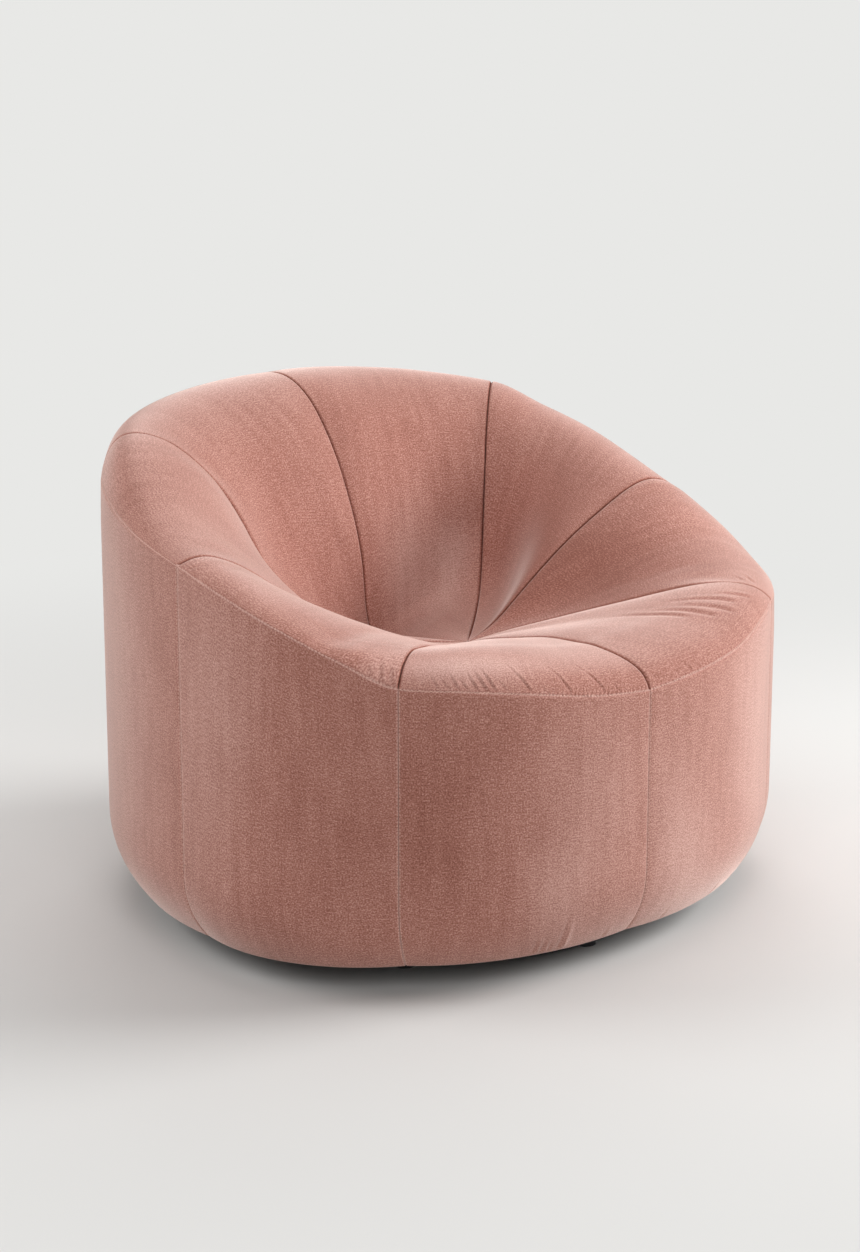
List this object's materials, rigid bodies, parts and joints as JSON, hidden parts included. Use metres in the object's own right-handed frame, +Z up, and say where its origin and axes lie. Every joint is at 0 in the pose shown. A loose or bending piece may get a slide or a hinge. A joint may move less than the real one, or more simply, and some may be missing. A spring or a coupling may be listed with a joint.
{
  "type": "occasional chair",
  "caption": "Round tub lounge chair in gored velvet, with a sloping padded rim and a deep bowl seat, that turns on a low recessed black plinth.",
  "frame": {"origin": "on the floor, in the middle of the drum's plan, which is the swivel axis", "axes": "+Z up, the sitter faces -Y, +X is the sitter's left hand side"},
  "size_m": [0.9394, 0.888, 0.6772],
  "materials": {
    "velvet": "dusty pink cotton velvet with a short brushed pile",
    "foam": "cut polyurethane foam",
    "timber": "planed beech, unfinished",
    "plywood": "birch plywood, unfinished",
    "hardboard": "pressed hardboard",
    "webbing": "woven elastic webbing",
    "twine": "waxed upholstery twine",
    "dust_cloth": "thin black non-woven cloth",
    "black_wood": "black painted, matt",
    "steel": "zinc-plated pressed steel",
    "nylon": "moulded black nylon"
  },
  "bodies": {
    "base": {"plinth_ring": "black_wood", "plinth_board": "black_wood", "floor_glides": "nylon", "glide_screws": "steel", "swivel_lower_plate": "steel", "plate_screws": "steel", "swivel_pin": "steel"},
    "ball_race": {"ball_cage": "nylon", "bearing_balls": "steel"},
    "chair": {"foam_gore_front_right": "foam", "foam_gore_side_right": "foam", "foam_gore_shoulder_right": "foam", "foam_gore_back_right": "foam", "foam_gore_back_left": "foam", "foam_gore_shoulder_left": "foam", "foam_gore_side_left": "foam", "foam_gore_front_left": "foam", "inner_cover_front_right": "velvet", "inner_cover_side_right": "velvet", "inner_cover_shoulder_right": "velvet", "inner_cover_back_right": "velvet", "inner_cover_back_left": "velvet", "inner_cover_shoulder_left": "velvet", "inner_cover_side_left": "velvet", "inner_cover_front_left": "velvet", "outer_cover_front_right": "velvet", "outer_cover_side_right": "velvet", "outer_cover_shoulder_right": "velvet", "outer_cover_back_right": "velvet", "outer_cover_back_left": "velvet", "outer_cover_shoulder_left": "velvet", "outer_cover_side_left": "velvet", "outer_cover_front_left": "velvet", "outer_padding": "foam", "wall_lining": "hardboard", "pull_down_tie": "twine", "dust_cover": "dust_cloth", "base_board": "plywood", "uprights": "timber", "top_rail": "timber", "seat_ring": "timber", "webbing_lengthwise": "webbing", "webbing_crosswise": "webbing", "swivel_upper_plate": "steel", "plate_bolts": "steel", "bolt_nuts": "steel"}
  },
  "joints": [
    {"name": "seat_swivel", "type": "hinge", "parent": "base", "child": "chair", "pos_m": [0, 0, 0.05], "axis": [0, 0, 1], "continuous": true},
    {"name": "race_turn", "type": "hinge", "parent": "base", "child": "ball_race", "pos_m": [0, 0, 0.05], "axis": [0, 0, 1], "continuous": true}
  ],
  "couplings": [
    {"joint": "race_turn", "follows": "seat_swivel", "ratio": 0.5}
  ]
}
